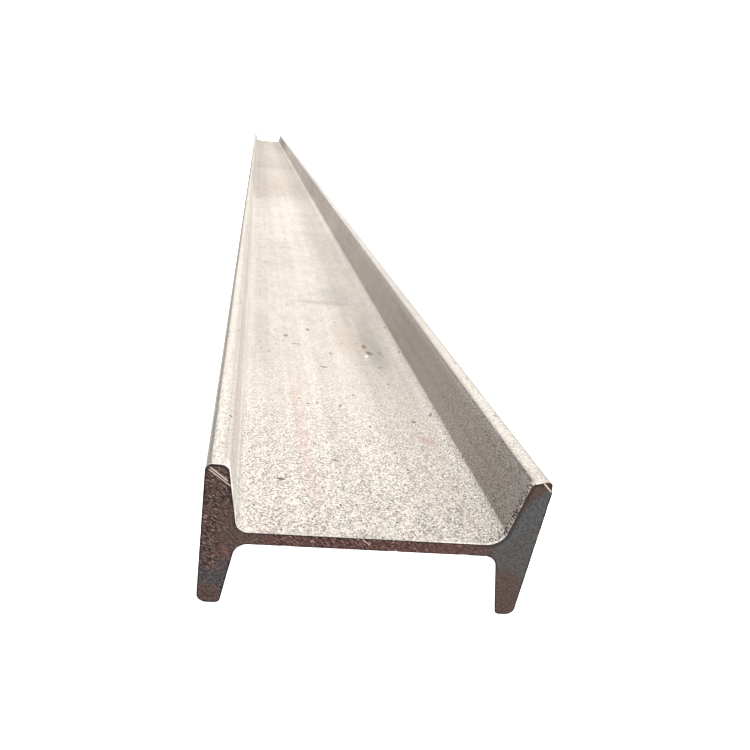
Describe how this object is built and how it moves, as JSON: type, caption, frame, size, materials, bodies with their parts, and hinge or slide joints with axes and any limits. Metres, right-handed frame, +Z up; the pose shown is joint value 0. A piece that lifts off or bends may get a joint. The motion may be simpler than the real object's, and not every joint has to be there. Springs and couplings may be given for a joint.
{
  "type": "steel i-beam",
  "caption": "Straight length of hot-rolled steel I-beam with tapered flanges, a thin web and square-cut ends, lying on its flange toes.",
  "frame": {"origin": "on the floor, under the middle of the beam, halfway between its ends and between its flanges", "axes": "+Y along the beam's length, +X across the section's depth from one flange to the other, +Z up across the flanges' width, out of the upper channel"},
  "size_m": [0.1, 2, 0.05],
  "materials": {
    "mill_steel": "dull as-rolled mill surface, pale beige-grey with fine dark pitting; the cut ends are rusty brown with blue-grey patches"
  },
  "bodies": {
    "root": {"i_beam": "mill_steel"}
  },
  "joints": []
}
